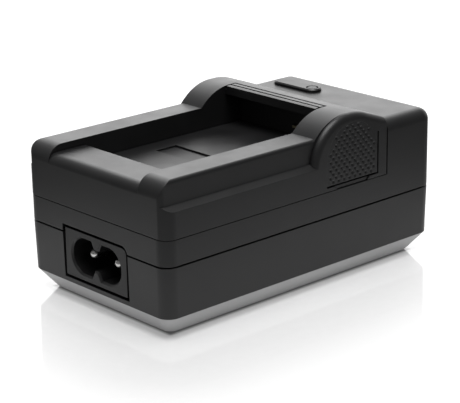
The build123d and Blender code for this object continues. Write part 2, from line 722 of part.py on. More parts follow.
def make_fuse(x, y):
    """Glass fuse lying along Y, with a metal cap at each end."""
    axis = Z_PARTS + FUSE_CAP_D / 2
    plane = Plane(origin=(x, y, axis), x_dir=(1, 0, 0), z_dir=(0, -1, 0))
    fuse = extrude(plane * Circle(FUSE_D / 2), FUSE_L / 2, both=True)
    for way in (-1, 1):
        end = Plane(origin=(x, y + way * FUSE_L / 2, axis), x_dir=(1, 0, 0), z_dir=(0, -way, 0))
        fuse += extrude(end * Circle(FUSE_CAP_D / 2), FUSE_CAP_L)
    return fuse


def make_package(size, x, y):
    """Moulded package standing on the board."""
    w, l, h = size
    body = block(-w / 2, w / 2, -l / 2, l / 2, Z_PARTS, Z_PARTS + h)
    return Pos(x, y) * chamfer(body.faces().sort_by(Axis.Z)[-1].edges(), PACKAGE_EDGE)


def make_chip(size, x, y, legs):
    """Package with a row of legs down each long side."""
    w, l, h = size
    chip = make_package(size, x, y)
    for i in range(legs):
        row = y + (i - (legs - 1) / 2) * LEG_PITCH
        for way in (-1, 1):
            side = x + way * w / 2
            out = side + way * LEG_OUT
            knee = Z_PARTS + h / 2
            low, high = min(side, out), max(side, out)
            chip += block(low, high, row - LEG_W / 2, row + LEG_W / 2, knee, knee + LEG_T)
            tip = out - way * LEG_T
            low, high = min(tip, out), max(tip, out)
            chip += block(low, high, row - LEG_W / 2, row + LEG_W / 2, Z_PARTS, knee + LEG_T)
    return chip


PIECES = {
    "bottom_tray": make_bottom_tray(),
    "lower_case": make_lower_case(),
    "upper_case": make_upper_case(),
    "battery_plate": make_battery_plate(),
    "mains_inlet": make_mains_inlet(),
    "inlet_pin_left": make_inlet_pin(-PIN_PITCH / 2),
    "inlet_pin_right": make_inlet_pin(PIN_PITCH / 2),
    "light_pipe": make_light_pipe(),
    "case_screws": make_case_screws(),
    "main_board": make_main_board(),
    "transformer_core": make_transformer_core(),
    "transformer_bobbin": make_transformer_bobbin(),
    "transformer_winding": make_transformer_winding(),
    "input_capacitor": make_can(INPUT_CAP_D, INPUT_CAP_H, -SIDE_X, INPUT_CAP_Y),
    "output_capacitor": make_can(OUTPUT_CAP_D, OUTPUT_CAP_H, OUTPUT_X, OUTPUT_CAP_Y),
    "safety_capacitor": make_package(SAFETY_CAP, 0, MAINS_Y),
    "rectifier_bridge": make_package(BRIDGE_RECTIFIER, SIDE_X, MAINS_Y),
    "fuse": make_fuse(-SIDE_X, MAINS_Y),
    "switching_ic": make_chip(SWITCHER, -SIDE_X, SWITCHER_Y, 3),
    "optocoupler": make_chip(OPTO, -SIDE_X, OPTO_Y, 2),
    "output_diode": make_package(DIODE, OUTPUT_X, DIODE_Y),
    "charge_controller": make_chip(CHARGER_IC, -LIGHT_X, LIGHT_Y, 2),
    "status_led": make_package(LED, LIGHT_X, LIGHT_Y),
}
for name, x in zip(("left", "middle", "right"), CONTACT_X):
    PIECES[f"plate_contact_{name}"] = make_plate_contact(x)
    PIECES[f"base_contact_{name}"] = make_base_contact(x)

for name, piece in PIECES.items():
    export_step(piece, f"parts/{name}.step")
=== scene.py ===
"""Dresses a camera battery charger and stands it on a white studio table."""

import json
import logging
import math
from dataclasses import dataclass, field
from enum import Enum
from typing import Any

import bpy
from mathutils import Matrix, Vector


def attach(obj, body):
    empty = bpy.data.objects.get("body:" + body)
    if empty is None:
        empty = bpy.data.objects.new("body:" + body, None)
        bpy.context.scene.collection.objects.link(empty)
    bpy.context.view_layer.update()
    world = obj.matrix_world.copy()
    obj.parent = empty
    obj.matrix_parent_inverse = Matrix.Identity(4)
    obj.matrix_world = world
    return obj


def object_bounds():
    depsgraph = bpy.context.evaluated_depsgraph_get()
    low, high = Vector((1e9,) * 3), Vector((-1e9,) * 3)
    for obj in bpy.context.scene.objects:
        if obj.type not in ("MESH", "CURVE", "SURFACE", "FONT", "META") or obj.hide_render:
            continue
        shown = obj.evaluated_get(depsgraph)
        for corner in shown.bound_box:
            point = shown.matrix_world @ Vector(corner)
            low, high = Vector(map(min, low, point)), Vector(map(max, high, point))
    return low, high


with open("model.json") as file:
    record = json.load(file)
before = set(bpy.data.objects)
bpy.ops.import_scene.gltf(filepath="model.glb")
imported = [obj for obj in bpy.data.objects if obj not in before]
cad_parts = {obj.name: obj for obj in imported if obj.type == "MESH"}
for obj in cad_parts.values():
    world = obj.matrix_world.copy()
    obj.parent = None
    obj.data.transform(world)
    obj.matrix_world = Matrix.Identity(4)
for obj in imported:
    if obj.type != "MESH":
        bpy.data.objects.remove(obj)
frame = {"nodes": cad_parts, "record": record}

CAD_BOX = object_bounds()
MM = 0.001
BODY = "root"
LOG = logging.getLogger("charger")

Colour = tuple[float, float, float, float]
Range = tuple[float, float]
Socket = bpy.types.NodeSocket

# Rays that find an edge or a crevice, and the values between which each of them shows; the crevice ones paint
# shade into crevices.
EDGE_SAMPLES = 8
EDGE_RANGE: Range = (0.75, 0.99)
PAINTED_SHADE_SAMPLES = 6
PAINTED_SHADE_RANGE: Range = (0.55, 0.97)

# Numbers of a mix node's colour sockets.
MIX_SHARE = 0
MIX_FIRST = 6
MIX_SECOND = 7
MIX_RESULT = 2

# Length of one turn of the wave pattern at a scale of 1.
WAVE_TURN = math.pi / 10

# Inputs of the principled shader, by the short names that the finishes use.
SHADER_INPUTS = {
    "colour": "Base Color",
    "metallic": "Metallic",
    "roughness": "Roughness",
    "ior": "IOR",
    "normal": "Normal",
    "specular": "Specular IOR Level",
    "transmission": "Transmission Weight",
}


class Side(Enum):
    """The two long sides of the charger, by the sign of X."""

    LEFT = -1
    RIGHT = 1


class Slot(Enum):
    """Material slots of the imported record."""

    TRAY = "tray"
    CASE = "case"
    PLATE = "plate"
    INLET = "inlet"
    PIN = "pin"
    LIGHT = "light"
    SCREW = "screw"
    BOARD = "board"
    FERRITE = "ferrite"
    BOBBIN = "bobbin"
    COPPER = "copper"
    CAN = "can"
    FILM_CAP = "film_cap"
    PACKAGE = "package"
    FUSE = "fuse"
    LAMP = "lamp"
    CONTACT = "contact"


class Graph:
    """A node tree with short calls that add nodes and join them."""

    def __init__(self, tree: bpy.types.NodeTree) -> None:
        """Keep the tree that the calls work on."""
        self.tree = tree

    def feed(self, socket: Socket, value: Any) -> None:
        """Link a socket to another one, or set its value.

        Args:
            socket: the input to feed.
            value: an output socket to link, or a plain value.
        """
        if isinstance(value, bpy.types.NodeSocket):
            self.tree.links.new(value, socket)
        else:
            socket.default_value = value

    def add(self, kind: str, inputs: dict[Any, Any] | None = None, **settings: Any) -> bpy.types.Node:
        """Add a node.

        Args:
            kind: the node's type.
            inputs: values or output sockets, by the input's name or number.
            settings: properties of the node itself.

        Returns:
            The new node.
        """
        node = self.tree.nodes.new(kind)
        for key, value in settings.items():
            setattr(node, key, value)
        for key, value in (inputs or {}).items():
            self.feed(node.inputs[key], value)
        return node

    def math(self, operation: str, *values: Any) -> Socket:
        """Add a math node.

        Args:
            operation: the node's operation.
            values: its operands, as numbers or sockets.

        Returns:
            The result's socket.
        """
        node = self.add("ShaderNodeMath", dict(enumerate(values)), operation=operation)
        return node.outputs[0]

    def product(self, first: Any, *others: Any) -> Socket:
        """Multiply numbers or sockets.

        Args:
            first: the first factor.
            others: the other factors.

        Returns:
            The product's socket.
        """
        result = first
        for other in others:
            result = self.math("MULTIPLY", result, other)
        return result

    def vector(self, operation: str, *values: Any) -> bpy.types.Node:
        """Add a vector math node.

        Args:
            operation: the node's operation.
            values: its operands, as vectors or sockets.

        Returns:
            The node, whose outputs are Vector and Value.
        """
        return self.add("ShaderNodeVectorMath", dict(enumerate(values)), operation=operation)

    def noise(self, place: Socket, pitch: float, detail: float = 3.0, stretch: Any = None) -> Socket:
        """Add a noise pattern.

        Args:
            place: the coordinates that it reads.
            pitch: the length of one lump, in metres.
            detail: how many finer octaves it has.
            stretch: an optional scale for each axis, for a brushed look.

        Returns:
            The noise from 0 to 1.
        """
        if stretch is not None:
            place = self.add("ShaderNodeMapping", {"Vector": place, "Scale": stretch}).outputs[0]
        node = self.add("ShaderNodeTexNoise", {"Vector": place, "Scale": 1.0 / pitch, "Detail": detail})
        return node.outputs[0]

    def spread(self, value: Socket, low: float, high: float, start: float = 0.3, end: float = 0.7) -> Socket:
        """Map a pattern to a range, clamped.

        Args:
            value: the pattern.
            low: the result where the pattern is at start or below.
            high: the result where it is at end or above.
            start: lower end of the pattern's range.
            end: upper end of the pattern's range.

        Returns:
            The mapped value.
        """
        node = self.add(
            "ShaderNodeMapRange",
            {"Value": value, "From Min": start, "From Max": end, "To Min": low, "To Max": high},
        )
        return node.outputs[0]

    def blend(self, share: Socket, first: Any, second: Any) -> Socket:
        """Mix two colours.

        Args:
            share: 0 for the first colour, 1 for the second.
            first: a colour or a socket.
            second: a colour or a socket.

        Returns:
            The mixed colour.
        """
        inputs = {MIX_SHARE: share, MIX_FIRST: first, MIX_SECOND: second}
        node = self.add("ShaderNodeMix", inputs, data_type="RGBA")
        return node.outputs[MIX_RESULT]

    def mirrored(self, path: Any) -> Socket:
        """Tell rays that come from gloss or through glass.

        Args:
            path: the outputs of a light path node.

        Returns:
            1 for such a ray, 0 for any other.
        """
        return self.math("MAXIMUM", path["Is Glossy Ray"], path["Is Transmission Ray"])


class Surface(Graph):
    """A material's node tree: its shader, its coordinates and its bump."""

    def __init__(self, name: str) -> None:
        """Start a material with a principled shader.

        Args:
            name: the material's name.
        """
        self.material = bpy.data.materials.new(name)
        self.material.use_nodes = True
        super().__init__(self.material.node_tree)
        self.shader = self.tree.nodes["Principled BSDF"]
        self.place = self.add("ShaderNodeTexCoord").outputs["Object"]

    def set(self, **inputs: Any) -> None:
        """Feed the shader's inputs, by the short names in SHADER_INPUTS."""
        for key, value in inputs.items():
            self.feed(self.shader.inputs[SHADER_INPUTS[key]], value)

    def soften(self, radius: float) -> tuple[Socket, Socket]:
        """Round the edges in the shading.

        Args:
            radius: how far from an edge the rounding reaches, in metres.

        Returns:
            The rounded normal, and a mask that is 1 on the edges.
        """
        rounded = self.add("ShaderNodeBevel", {"Radius": radius}, samples=EDGE_SAMPLES).outputs[0]
        true = self.add("ShaderNodeNewGeometry").outputs["Normal"]
        likeness = self.vector("DOT_PRODUCT", rounded, true).outputs["Value"]
        return rounded, self.spread(likeness, 1.0, 0.0, *EDGE_RANGE)

    def painted_crevice_shade(self, reach: float, closed: float) -> Socket:
        """Paint shade into crevices, where other faces are near.

        Args:
            reach: how near another face has to be to close a point in, in metres.
            closed: the result deep in a crevice.

        Returns:
            1 on an open face, down to the given value deep in the painted shade of a crevice.
        """
        node = self.add("ShaderNodeAmbientOcclusion", {"Distance": reach}, samples=PAINTED_SHADE_SAMPLES)
        return self.spread(node.outputs["AO"], closed, 1.0, *PAINTED_SHADE_RANGE)

    def emboss(self, height: Socket, depth: float, strength: float, normal: Socket | None = None) -> None:
        """Give the surface a bump.

        Args:
            height: the pattern, from 0 to 1.
            depth: how deep the pattern is, in metres.
            strength: share of the bump that shows.
            normal: the normal that the bump is added to.
        """
        inputs = {"Height": height, "Distance": depth, "Strength": strength}
        if normal is not None:
            inputs["Normal"] = normal
        self.set(normal=self.add("ShaderNodeBump", inputs).outputs[0])


@dataclass(frozen=True)
class MouldedPlastic:
    """Moulded plastic with a spark-eroded grain, eased edges, light wear along them and painted shade that
    dulls its reflections in crevices.

    Attributes:
        colour: its main colour.
        worn: its colour where it is rubbed.
        roughness: its roughness on average.
        grain: size of the grain.
        grain_depth: depth of the grain.
        grain_strength: share of the grain that shows.
        mottle: size of the slow changes in tone and gloss.
        mottle_share: how far these go towards the worn colour.
        edge: how far an edge is eased.
        scuff: size of the scuffs along the edges.
        scuff_range: values of the pattern between which a scuff shows.
        specular: strength of its reflections.
        crevice: width under which a gap counts as a crevice and is given painted shade.
        shine_kept_in_painted_shade: share of its reflections that the painted shade leaves in a crevice.
        polished: how much smoother its smoothest places are.
        dulled: how much rougher its roughest places are.
        rubbed: how much smoother a worn edge is.
    """

    colour: Colour
    worn: Colour
    roughness: float
    grain: float = 0.14 * MM
    grain_depth: float = 0.012 * MM
    grain_strength: float = 0.35
    mottle: float = 7.0 * MM
    mottle_share: float = 0.25
    edge: float = 0.12 * MM
    scuff: float = 0.9 * MM
    scuff_range: Range = (0.4, 0.75)
    specular: float = 0.5
    crevice: float = 0.6 * MM
    shine_kept_in_painted_shade: float = 0.1
    polished: float = 0.03
    dulled: float = 0.04
    rubbed: float = 0.08

    def make(self, name: str) -> bpy.types.Material:
        """Build the material.

        Args:
            name: its name.

        Returns:
            The material.
        """
        surface = Surface(name)
        rounded, edges = surface.soften(self.edge)
        scratched = surface.noise(surface.place, self.scuff, detail=4.0)
        wear = surface.product(edges, surface.spread(scratched, 0.0, 1.0, *self.scuff_range))
        broad = surface.noise(surface.place, self.mottle)
        tone = surface.blend(surface.spread(broad, 0.0, self.mottle_share), self.colour, self.worn)
        # Painted shade: reflections are dulled in crevices, seams and pits.
        shaded_specular = surface.product(surface.painted_crevice_shade(self.crevice, self.shine_kept_in_painted_shade), self.specular)
        surface.set(colour=surface.blend(wear, tone, self.worn), specular=shaded_specular)
        gloss = surface.spread(broad, self.roughness - self.polished, self.roughness + self.dulled)
        surface.set(roughness=surface.math("SUBTRACT", gloss, surface.product(wear, self.rubbed)))
        grain = surface.noise(surface.place, self.grain, detail=2.0)
        surface.emboss(grain, self.grain_depth, self.grain_strength, rounded)
        return surface.material


@dataclass(frozen=True)
class PlatedMetal:
    """Plated metal with fine draw marks along one axis.

    Attributes:
        colour: its colour where it is bright.
        tarnish: its colour where it is dull.
        roughness: its roughness on average.
        stretch: scale of the draw marks along each axis.
        mark: width of a draw mark.
        mark_depth: depth of a draw mark.
        mark_strength: share of the marks that shows.
        stain: size of the dull places.
        stain_range: values of the pattern between which a dull place shows.
        polished: how much smoother its smoothest marks are.
        dulled: how much rougher its roughest marks are.
    """

    colour: Colour
    tarnish: Colour
    roughness: float
    stretch: tuple[float, float, float] = (1.0, 0.12, 1.0)
    mark: float = 0.09 * MM
    mark_depth: float = 0.004 * MM
    mark_strength: float = 0.2
    stain: float = 1.3 * MM
    stain_range: Range = (0.45, 0.75)
    polished: float = 0.05
    dulled: float = 0.1

    def make(self, name: str) -> bpy.types.Material:
        """Build the material.

        Args:
            name: its name.

        Returns:
            The material.
        """
        surface = Surface(name)
        marks = surface.noise(surface.place, self.mark, stretch=self.stretch)
        dull = surface.spread(surface.noise(surface.place, self.stain), 0.0, 1.0, *self.stain_range)
        surface.set(metallic=1.0, colour=surface.blend(dull, self.colour, self.tarnish))
        gloss = surface.spread(marks, self.roughness - self.polished, self.roughness + self.dulled)
        surface.set(roughness=gloss)
        surface.emboss(marks, self.mark_depth, self.mark_strength)
        return surface.material


@dataclass(frozen=True)
class MilkyPlastic:
    """Clear moulding with a little haze, for the light pipe, the lamp's lens and the fuse.

    Attributes:
        colour: its main colour.
        transmission: share of the light that goes through.
        roughness: its roughness where it is clear.
        haze: size of the hazy places.
        paler: how much paler a hazy place is.
        dulled: how much rougher a hazy place is.
        ior: its index of refraction.
    """

    colour: Colour
    transmission: float
    roughness: float
    haze: float = 1.1 * MM
    paler: float = 1.12
    dulled: float = 0.1
    ior: float = 1.49

    def make(self, name: str) -> bpy.types.Material:
        """Build the material.

        Args:
            name: its name.

        Returns:
            The material.
        """
        surface = Surface(name)
        haze = surface.noise(surface.place, self.haze)
        red, green, blue = (min(1.0, self.paler * part) for part in self.colour[:3])
        pale = (red, green, blue, 1.0)
        surface.set(colour=surface.blend(surface.spread(haze, 0.0, 1.0), self.colour, pale))
        surface.set(transmission=self.transmission, ior=self.ior)
        surface.set(roughness=surface.spread(haze, self.roughness, self.roughness + self.dulled))
        return surface.material


@dataclass(frozen=True)
class PrintedBoard:
    """Solder mask over copper tracks.

    Attributes:
        mask: colour of the mask over bare board.
        track: colour of the mask over a track.
        pitch: distance between tracks.
        track_half: half the width of a track, in pitches.
        cross_pitch: distance between the tracks that cross them, in pitches.
        track_height: how far a track stands out.
        track_strength: share of that height that shows.
        speckle: size of the changes in gloss.
        roughness: lowest and highest roughness.
    """

    mask: Colour = (0.012, 0.075, 0.03, 1.0)
    track: Colour = (0.03, 0.16, 0.06, 1.0)
    pitch: float = 1.27 * MM
    track_half: float = 0.18
    cross_pitch: float = 5.0
    track_height: float = 0.03 * MM
    track_strength: float = 0.4
    speckle: float = 0.5 * MM
    roughness: Range = (0.28, 0.4)

    def make(self, name: str) -> bpy.types.Material:
        """Build the material.

        Args:
            name: its name.

        Returns:
            The material.
        """
        surface = Surface(name)
        brick = surface.add(
            "ShaderNodeTexBrick",
            {
                "Vector": surface.place,
                "Scale": 1.0 / self.pitch,
                "Mortar Size": self.track_half,
                "Brick Width": self.cross_pitch,
                "Row Height": 1.0,
            },
        )
        tracks = brick.outputs["Fac"]
        surface.set(colour=surface.blend(tracks, self.mask, self.track))
        speckle = surface.noise(surface.place, self.speckle, detail=2.0)
        surface.set(roughness=surface.spread(speckle, *self.roughness))
        surface.emboss(tracks, self.track_height, self.track_strength)
        return surface.material


@dataclass(frozen=True)
class WoundWire:
    """Enamelled copper in turns that run round the coil, with painted shade between the turns.

    Attributes:
        colour: its colour on top of a turn.
        shade: its colour between two turns, painted shade where the turns meet.
        pitch: distance between turns.
        metallic: how metallic the enamelled wire looks.
        roughness: roughness between two turns and on top of one.
        turn_depth: depth of the gap between two turns.
        turn_strength: share of that depth that shows.
    """

    colour: Colour = (0.52, 0.2, 0.07, 1.0)
    shade: Colour = (0.22, 0.07, 0.02, 1.0)
    pitch: float = 0.32 * MM
    metallic: float = 0.6
    roughness: Range = (0.45, 0.25)
    turn_depth: float = 0.12 * MM
    turn_strength: float = 0.8

    def make(self, name: str) -> bpy.types.Material:
        """Build the material.

        Args:
            name: its name.

        Returns:
            The material.
        """
        surface = Surface(name)
        wave = surface.add(
            "ShaderNodeTexWave",
            {"Vector": surface.place, "Scale": WAVE_TURN / self.pitch, "Distortion": 0.0},
            bands_direction="Y",
        )
        turns = wave.outputs["Fac"]
        # Painted shade: the colour darkens between two turns.
        surface.set(metallic=self.metallic, colour=surface.blend(turns, self.shade, self.colour))
        surface.set(roughness=surface.spread(turns, *self.roughness))
        surface.emboss(turns, self.turn_depth, self.turn_strength)
        return surface.material


@dataclass(frozen=True)
class Finishes:
    """Every finish of the charger, by material slot."""

    black: MouldedPlastic = MouldedPlastic((0.010, 0.010, 0.0104, 1.0), (0.017, 0.017, 0.0175, 1.0), 0.38)
    silver: MouldedPlastic = MouldedPlastic(
        (0.33, 0.33, 0.333, 1.0), (0.37, 0.37, 0.37, 1.0), 0.42, grain_strength=0.2, crevice=0.02 * MM
    )
    socket: MouldedPlastic = MouldedPlastic((0.005, 0.005, 0.0053, 1.0), (0.012, 0.012, 0.0125, 1.0), 0.44)
    ferrite: MouldedPlastic = MouldedPlastic(
        (0.02, 0.02, 0.022, 1.0), (0.05, 0.05, 0.052, 1.0), 0.7, grain=0.3 * MM, grain_strength=0.6
    )
    bobbin: MouldedPlastic = MouldedPlastic((0.3, 0.23, 0.09, 1.0), (0.36, 0.29, 0.13, 1.0), 0.45)
    film: MouldedPlastic = MouldedPlastic((0.45, 0.33, 0.05, 1.0), (0.52, 0.4, 0.1, 1.0), 0.38)
    package: MouldedPlastic = MouldedPlastic((0.012, 0.012, 0.013, 1.0), (0.035, 0.035, 0.036, 1.0), 0.55)
    sleeve: MouldedPlastic = MouldedPlastic((0.012, 0.02, 0.06, 1.0), (0.05, 0.06, 0.1, 1.0), 0.3)
    nickel: PlatedMetal = PlatedMetal((0.74, 0.735, 0.725, 1.0), (0.58, 0.575, 0.565, 1.0), 0.2)
    steel: PlatedMetal = PlatedMetal(
        (0.5, 0.5, 0.49, 1.0), (0.33, 0.33, 0.32, 1.0), 0.3, stretch=(1.0, 1.0, 0.1)
    )
    gold: PlatedMetal = PlatedMetal((0.66, 0.58, 0.38, 1.0), (0.44, 0.39, 0.27, 1.0), 0.24)
    lens: MilkyPlastic = MilkyPlastic((0.06, 0.062, 0.064, 1.0), 0.2, 0.42)
    lamp: MilkyPlastic = MilkyPlastic((0.8, 0.78, 0.68, 1.0), 0.2, 0.25)
    glass: MilkyPlastic = MilkyPlastic((0.86, 0.88, 0.87, 1.0), 0.85, 0.05)
    board: PrintedBoard = PrintedBoard()
    wire: WoundWire = WoundWire()

    def by_slot(self) -> dict[Slot, bpy.types.Material]:
        """Make one material for each slot.

        Returns:
            The materials, by slot.
        """
        finishes = {
            Slot.TRAY: self.silver,
            Slot.CASE: self.black,
            Slot.PLATE: self.black,
            Slot.INLET: self.socket,
            Slot.PIN: self.nickel,
            Slot.LIGHT: self.lens,
            Slot.SCREW: self.steel,
            Slot.BOARD: self.board,
            Slot.FERRITE: self.ferrite,
            Slot.BOBBIN: self.bobbin,
            Slot.COPPER: self.wire,
            Slot.CAN: self.sleeve,
            Slot.FILM_CAP: self.film,
            Slot.PACKAGE: self.package,
            Slot.FUSE: self.glass,
            Slot.LAMP: self.lamp,
            Slot.CONTACT: self.gold,
        }
        return {slot: finish.make(slot.value) for slot, finish in finishes.items()}


class Wardrobe:
    """Hands out the materials and dresses pieces with them."""

    def __init__(self, finishes: Finishes) -> None:
        """Make the materials.

        Args:
            finishes: the charger's finishes.
        """
        self.materials = finishes.by_slot()
        self.slots = {row["node"]: Slot(row["material_slot"]) for row in frame["record"]["subparts"]}

    def dress_node(self, node: str) -> None:
        """Give a carried-over solid the material of its slot.

        Args:
            node: the solid's name.
        """
        mesh = frame["nodes"][node].data
        mesh.materials.clear()
        mesh.materials.append(self.materials[self.slots[node]])
        LOG.info("dressed %s as %s", node, self.slots[node].value)

    def take_on(self, piece: bpy.types.Object, slot: Slot) -> None:
        """Let a new piece ride on the charger and name its slot.

        Args:
            piece: the finished piece.
            slot: the slot that its finish comes from.
        """
        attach(piece, BODY)
        LOG.info("added %s, %d faces, as %s", piece.name, len(piece.data.polygons), slot.value)


class GeometryTree(Graph):
    """A geometry node tree with named inputs, and the way to turn its result into a piece."""

    def __init__(self, name: str, inputs: dict[str, Any]) -> None:
        """Start a tree.

        Args:
            name: the tree's name.
            inputs: the sizes and materials it takes, by name.
        """
        super().__init__(bpy.data.node_groups.new(name, "GeometryNodeTree"))
        self.values: dict[str, Any] = {}
        face = self.tree.interface
        face.new_socket("Geometry", in_out="INPUT", socket_type="NodeSocketGeometry")
        for key, value in inputs.items():
            is_material = isinstance(value, bpy.types.Material)
            kind = "NodeSocketMaterial" if is_material else "NodeSocketFloat"
            self.values[face.new_socket(key, in_out="INPUT", socket_type=kind).identifier] = value
        face.new_socket("Geometry", in_out="OUTPUT", socket_type="NodeSocketGeometry")
        self.source = self.add("NodeGroupInput").outputs

    def join(self, *parts: Socket) -> Socket:
        """Join geometries.

        Args:
            parts: the geometries to join.

        Returns:
            All of them as one geometry.
        """
        node = self.add("GeometryNodeJoinGeometry")
        for part in parts:
            self.feed(node.inputs[0], part)
        return node.outputs[0]

    def shift(self, geometry: Socket, **offsets: Any) -> Socket:
        """Move a geometry.

        Args:
            geometry: what is moved.
            offsets: how far it goes along X, Y and Z, by the axis.

        Returns:
            The moved geometry.
        """
        offset = self.add("ShaderNodeCombineXYZ", offsets).outputs[0]
        return self.add("GeometryNodeTransform", {"Geometry": geometry, "Translation": offset}).outputs[0]

    def repeat(self, points: Socket, shape: Socket) -> Socket:
        """Put a shape on each point.

        Args:
            points: the points.
            shape: the shape.

        Returns:
            The copies, as real geometry.
        """
        copies = self.add("GeometryNodeInstanceOnPoints", {"Points": points, "Instance": shape}).outputs[0]
        return self.add("GeometryNodeRealizeInstances", {0: copies}).outputs[0]

    def close(self, geometry: Socket, material: Socket) -> None:
        """Realize the instances, set the material and end the tree.

        Args:
            geometry: what the tree has made.
            material: the material's input.
        """
        real = self.add("GeometryNodeRealizeInstances", {0: geometry}).outputs[0]
        painted = self.add("GeometryNodeSetMaterial", {"Geometry": real, "Material": material}).outputs[0]
        self.add("NodeGroupOutput", {0: painted})

    def grow(self, name: str, base: bpy.types.Mesh, place: Matrix) -> bpy.types.Object:
        """Run the tree on a base mesh and keep the result as a plain piece.

        Args:
            name: the piece's name.
            base: the mesh that the tree starts from.
            place: where the result goes.

        Returns:
            The piece, at the origin, with its place in its mesh.
        """
        carrier = bpy.data.objects.new(name + "_carrier", base)
        bpy.context.scene.collection.objects.link(carrier)
        modifier = carrier.modifiers.new("grow", "NODES")
        modifier.node_group = self.tree
        for identifier, value in self.values.items():
            modifier[identifier] = value
        graph = bpy.context.evaluated_depsgraph_get()
        mesh = bpy.data.meshes.new_from_object(carrier.evaluated_get(graph), depsgraph=graph)
        bpy.data.objects.remove(carrier)
        mesh.transform(place)
        mesh.name = name
        piece = bpy.data.objects.new(name, mesh)
        bpy.context.scene.collection.objects.link(piece)
        return piece


@dataclass
class GripPads:
    """Pads with a staggered lattice of pits, which fill the shallow arch on each squeeze tongue.

    Attributes:
        width: width of the arch, twice its radius.
        middle: place of the arch's middle along Y.
        foot: height of the arch's straight foot.
        arch: height of the arch's centre.
        seat: place of the pocket's floor along X, on either side.
        thickness: thickness of a pad, a little less than the pocket's depth.
        floor: what is left of it under a pit.
        column: distance between two columns of pits.
        pitch: distance between two pits of a column.
        pit: radius of a pit at the front.
        pit_sides: sides of a pit.
        stagger: offset of each of the two grids of pits, in columns and pitches.
        margin: least distance from a pit's centre to the arch's edge.
        weld: distance under which two points become one.
        arc_steps: steps along the arch's curve.
    """

    width: float = 16.2 * MM
    middle: float = 13.9 * MM
    foot: float = 23.6 * MM
    arch: float = 28.8 * MM
    seat: float = 23.5 * MM
    thickness: float = 0.28 * MM
    floor: float = 0.03 * MM
    column: float = 0.87 * MM
    pitch: float = 1.8 * MM
    pit: float = 0.5 * MM
    pit_sides: int = 8
    stagger: tuple[Range, Range] = ((0.0, 0.0), (1.0, 0.5))
    margin: float = 0.55 * MM
    weld: float = 0.002 * MM
    arc_steps: int = 40

    def outline(self) -> bpy.types.Mesh:
        """Draw the arch as a closed ring of edges, round its arch centre.

        Returns:
            The ring, in the XY plane.
        """
        radius = self.width / 2
        drop = self.foot - self.arch
        turns = [i * math.pi / self.arc_steps for i in range(self.arc_steps + 1)]
        points = [(radius, drop, 0.0)]
        points += [(radius * math.cos(turn), radius * math.sin(turn), 0.0) for turn in turns]
        points.append((-radius, drop, 0.0))
        edges = [(i, (i + 1) % len(points)) for i in range(len(points))]
        mesh = bpy.data.meshes.new("grip_outline")
        mesh.from_pydata(points, edges, [])
        return mesh

    def lattice(self, tree: GeometryTree, offset: Range) -> Socket:
        """Lay out one of the two staggered grids of pits.

        Args:
            tree: the tree that it is made in.
            offset: the grid's offset, in columns and pitches.

        Returns:
            The grid's points.
        """
        column, pitch = tree.source["Column"], tree.source["Pitch"]
        columns = 2 * math.ceil(self.width / (4 * self.column)) + 1
        rows = 2 * math.ceil(self.width / (2 * self.pitch)) + 1
        grid = tree.add(
            "GeometryNodeMeshGrid",
            {
                "Size X": tree.product(column, 2.0 * (columns - 1)),
                "Size Y": tree.product(pitch, rows - 1),
                "Vertices X": columns,
                "Vertices Y": rows,
            },
        ).outputs[0]
        return tree.shift(grid, X=tree.product(column, offset[0]), Y=tree.product(pitch, offset[1]))

    def outside(self, tree: GeometryTree) -> Socket:
        """Test which points lie outside the arch.

        Args:
            tree: the tree that it is made in.

        Returns:
            True for a point that has no room for a pit.
        """
        position = tree.add("GeometryNodeInputPosition").outputs[0]
        spot = tree.add("ShaderNodeSeparateXYZ", {0: position}).outputs
        above = tree.math("MAXIMUM", spot["Y"], 0.0)
        squares = [tree.math("POWER", length, 2.0) for length in (spot["X"], above)]
        reach = tree.math("SQRT", tree.math("ADD", *squares))
        radius = tree.product(tree.source["Width"], 0.5)
        room = tree.math("SUBTRACT", radius, tree.source["Margin"])
        lowest = tree.math("ADD", tree.source["Drop"], tree.source["Margin"])
        wide = tree.math("GREATER_THAN", reach, room)
        low = tree.math("LESS_THAN", spot["Y"], lowest)
        return tree.math("MAXIMUM", wide, low)

    def face(self, tree: GeometryTree, spots: Socket) -> Socket:
        """Make the front of the pad, with a hole over each pit.

        Args:
            tree: the tree that it is made in.
            spots: the pits' centres.

        Returns:
            The sheet, level with the pad's front.
        """
        circle = {"Resolution": self.pit_sides, "Radius": tree.source["Pit"]}
        ring = tree.add("GeometryNodeCurvePrimitiveCircle", circle).outputs[0]
        border = tree.add("GeometryNodeMeshToCurve", {0: tree.source["Geometry"]}).outputs[0]
        curves = tree.join(tree.repeat(spots, ring), border)
        sheet = tree.add("GeometryNodeFillCurve", {0: curves}).outputs[0]
        return tree.shift(sheet, Z=tree.source["Thickness"])

    def pits(self, tree: GeometryTree, spots: Socket) -> Socket:
        """Make the pits themselves, as cones that stop short of the pad's back.

        Args:
            tree: the tree that it is made in.
            spots: the pits' centres.

        Returns:
            The cones, open at the front.
        """
        cone = tree.add(
            "GeometryNodeMeshCone",
            {
                "Vertices": self.pit_sides,
                "Radius Top": tree.source["Pit"],
                "Radius Bottom": 0.0,
                "Depth": tree.math("SUBTRACT", tree.source["Thickness"], tree.source["Floor"]),
            },
            fill_type="NONE",
        ).outputs[0]
        raised = tree.shift(cone, Z=tree.source["Floor"])
        inward = tree.add("GeometryNodeFlipFaces", {0: raised}).outputs[0]
        return tree.repeat(spots, inward)

